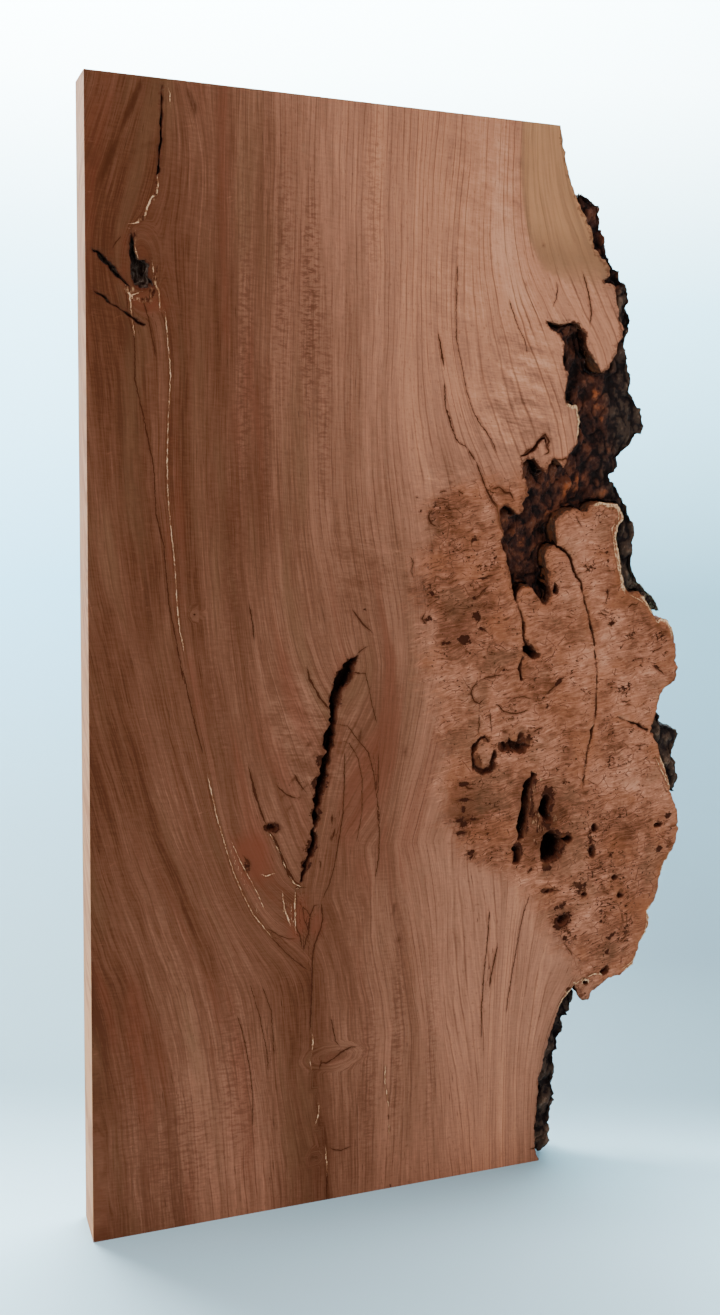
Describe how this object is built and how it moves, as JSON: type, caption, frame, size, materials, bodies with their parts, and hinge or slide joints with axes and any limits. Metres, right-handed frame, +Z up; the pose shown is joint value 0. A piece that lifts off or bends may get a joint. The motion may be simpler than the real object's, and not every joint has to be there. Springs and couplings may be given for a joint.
{
  "type": "cherry burl slab",
  "caption": "Upright sawn cherry slab with one straight edge and one live edge that swells into a burl, with a crotch figure, bark inclusion, cracks and patches of bark.",
  "frame": {"origin": "centre of the bounding box at the sawn bottom end that the slab stands on", "axes": "+Z up along the grain, the longest extent; +Y through the thickness from the figured face to the back face; +X from the straight sawn edge to the live edge"},
  "size_m": [0.5448, 0.04, 0.914],
  "materials": {
    "wood": "sanded bare cherry, satin, dark reddish brown at the sawn edge to pinkish tan at the burl",
    "bark": "rough flaking dark bark, matt"
  },
  "bodies": {
    "root": {"wood": "wood", "bark_upper": "bark", "bark_middle": "bark", "bark_lower": "bark"}
  },
  "joints": []
}
